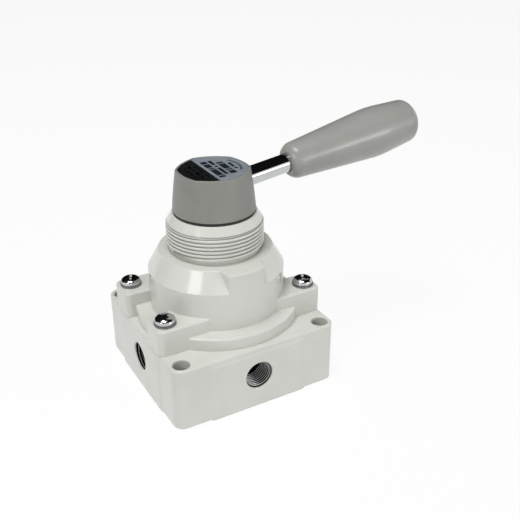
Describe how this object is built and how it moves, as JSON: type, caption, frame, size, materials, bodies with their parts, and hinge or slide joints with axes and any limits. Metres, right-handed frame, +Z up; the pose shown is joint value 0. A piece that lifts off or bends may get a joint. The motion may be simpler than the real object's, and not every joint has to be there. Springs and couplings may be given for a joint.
{
  "type": "hand lever air valve",
  "caption": "Hand lever rotary air valve: square port block, domed bonnet with a threaded collar, grey cap and a side lever with a teardrop grip.",
  "frame": {"origin": "centre of the port block's underside, on the valve axis", "axes": "+Z up the valve axis, +X along the lever in its middle position, -Y the face with the index boss"},
  "size_m": [0.1113, 0.06, 0.0853],
  "materials": {
    "painted_casting": "satin",
    "nitrile_rubber": "matte",
    "lapped_steel": "satin",
    "bearing_steel": "polished",
    "spring_steel": "satin",
    "chromed_screws": "polished",
    "turned_steel": "satin",
    "bronze": "satin",
    "moulded_cap": "satin",
    "moulded_grip": "satin",
    "chromed_rod": "polished",
    "printed_label": "satin"
  },
  "bodies": {
    "valve": {"valve_body": "painted_casting", "body_seal": "nitrile_rubber", "port_seals": "nitrile_rubber", "seat_plate": "lapped_steel", "seat_dowels": "bearing_steel", "bonnet": "painted_casting", "bonnet_screws": "chromed_screws", "spring_washers": "spring_steel", "spindle_bush": "bronze", "thrust_washer": "bronze", "detent_ring": "lapped_steel", "stop_pin": "bearing_steel"},
    "lever_unit": {"rotor_disc": "lapped_steel", "rotor_spring": "spring_steel", "drive_pins": "bearing_steel", "spindle": "turned_steel", "spindle_seals": "nitrile_rubber", "detent_balls": "bearing_steel", "detent_springs": "spring_steel", "dust_ring": "nitrile_rubber", "cap": "moulded_cap", "cap_washer": "chromed_screws", "cap_screw": "chromed_screws", "label_disc": "printed_label", "lever_rod": "chromed_rod", "lever_grip": "moulded_grip"}
  },
  "joints": [
    {"name": "lever_turn", "type": "hinge", "parent": "valve", "child": "lever_unit", "pos_m": [0, 0, 0.0668], "axis": [0, 0, 1], "range_deg": [-45, 45]}
  ]
}
